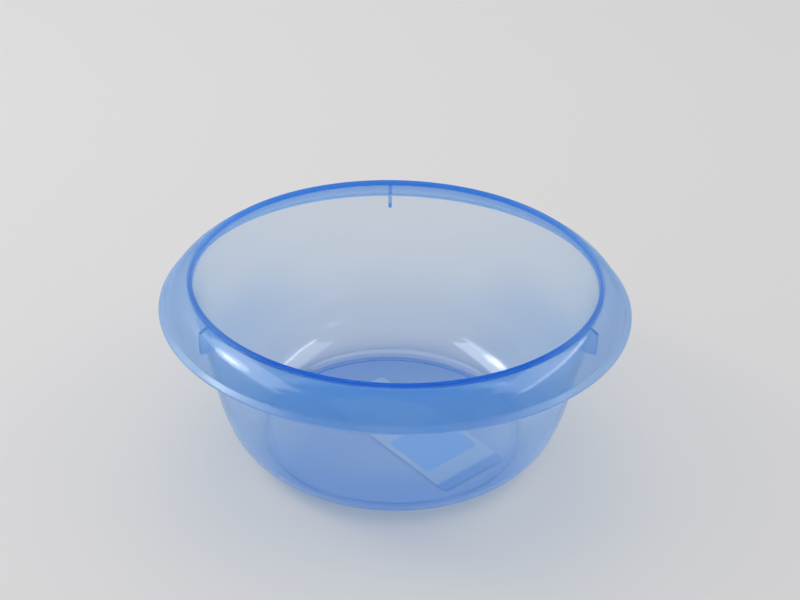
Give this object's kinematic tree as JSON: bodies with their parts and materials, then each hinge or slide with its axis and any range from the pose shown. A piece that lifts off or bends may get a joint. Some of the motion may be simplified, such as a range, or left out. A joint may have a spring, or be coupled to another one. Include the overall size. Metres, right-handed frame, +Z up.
{
  "type": "plastic bowl",
  "caption": "Round open kitchen bowl in clear blue plastic, with a domed collar and a flared edge round its rim, stacking ribs below the collar and a bare label under its floor.",
  "frame": {"origin": "centre of the foot ring on the standing plane", "axes": "+Z up along the bowl's axis, -Y towards the viewer of the picture, +Y through the back stacking rib, +X to the right"},
  "size_m": [0.26, 0.26, 0.1063],
  "materials": {
    "clear_blue_plastic": "clear gloss, tinted blue, darker where it is seen edge on",
    "label_film": "matt printed film, bare of lettering"
  },
  "bodies": {
    "root": {"bowl_shell": "clear_blue_plastic", "rim_collar": "clear_blue_plastic", "rim_flange": "clear_blue_plastic", "stacking_rib_back": "clear_blue_plastic", "stacking_rib_left": "clear_blue_plastic", "stacking_rib_right": "clear_blue_plastic", "base_label": "label_film"}
  },
  "joints": []
}
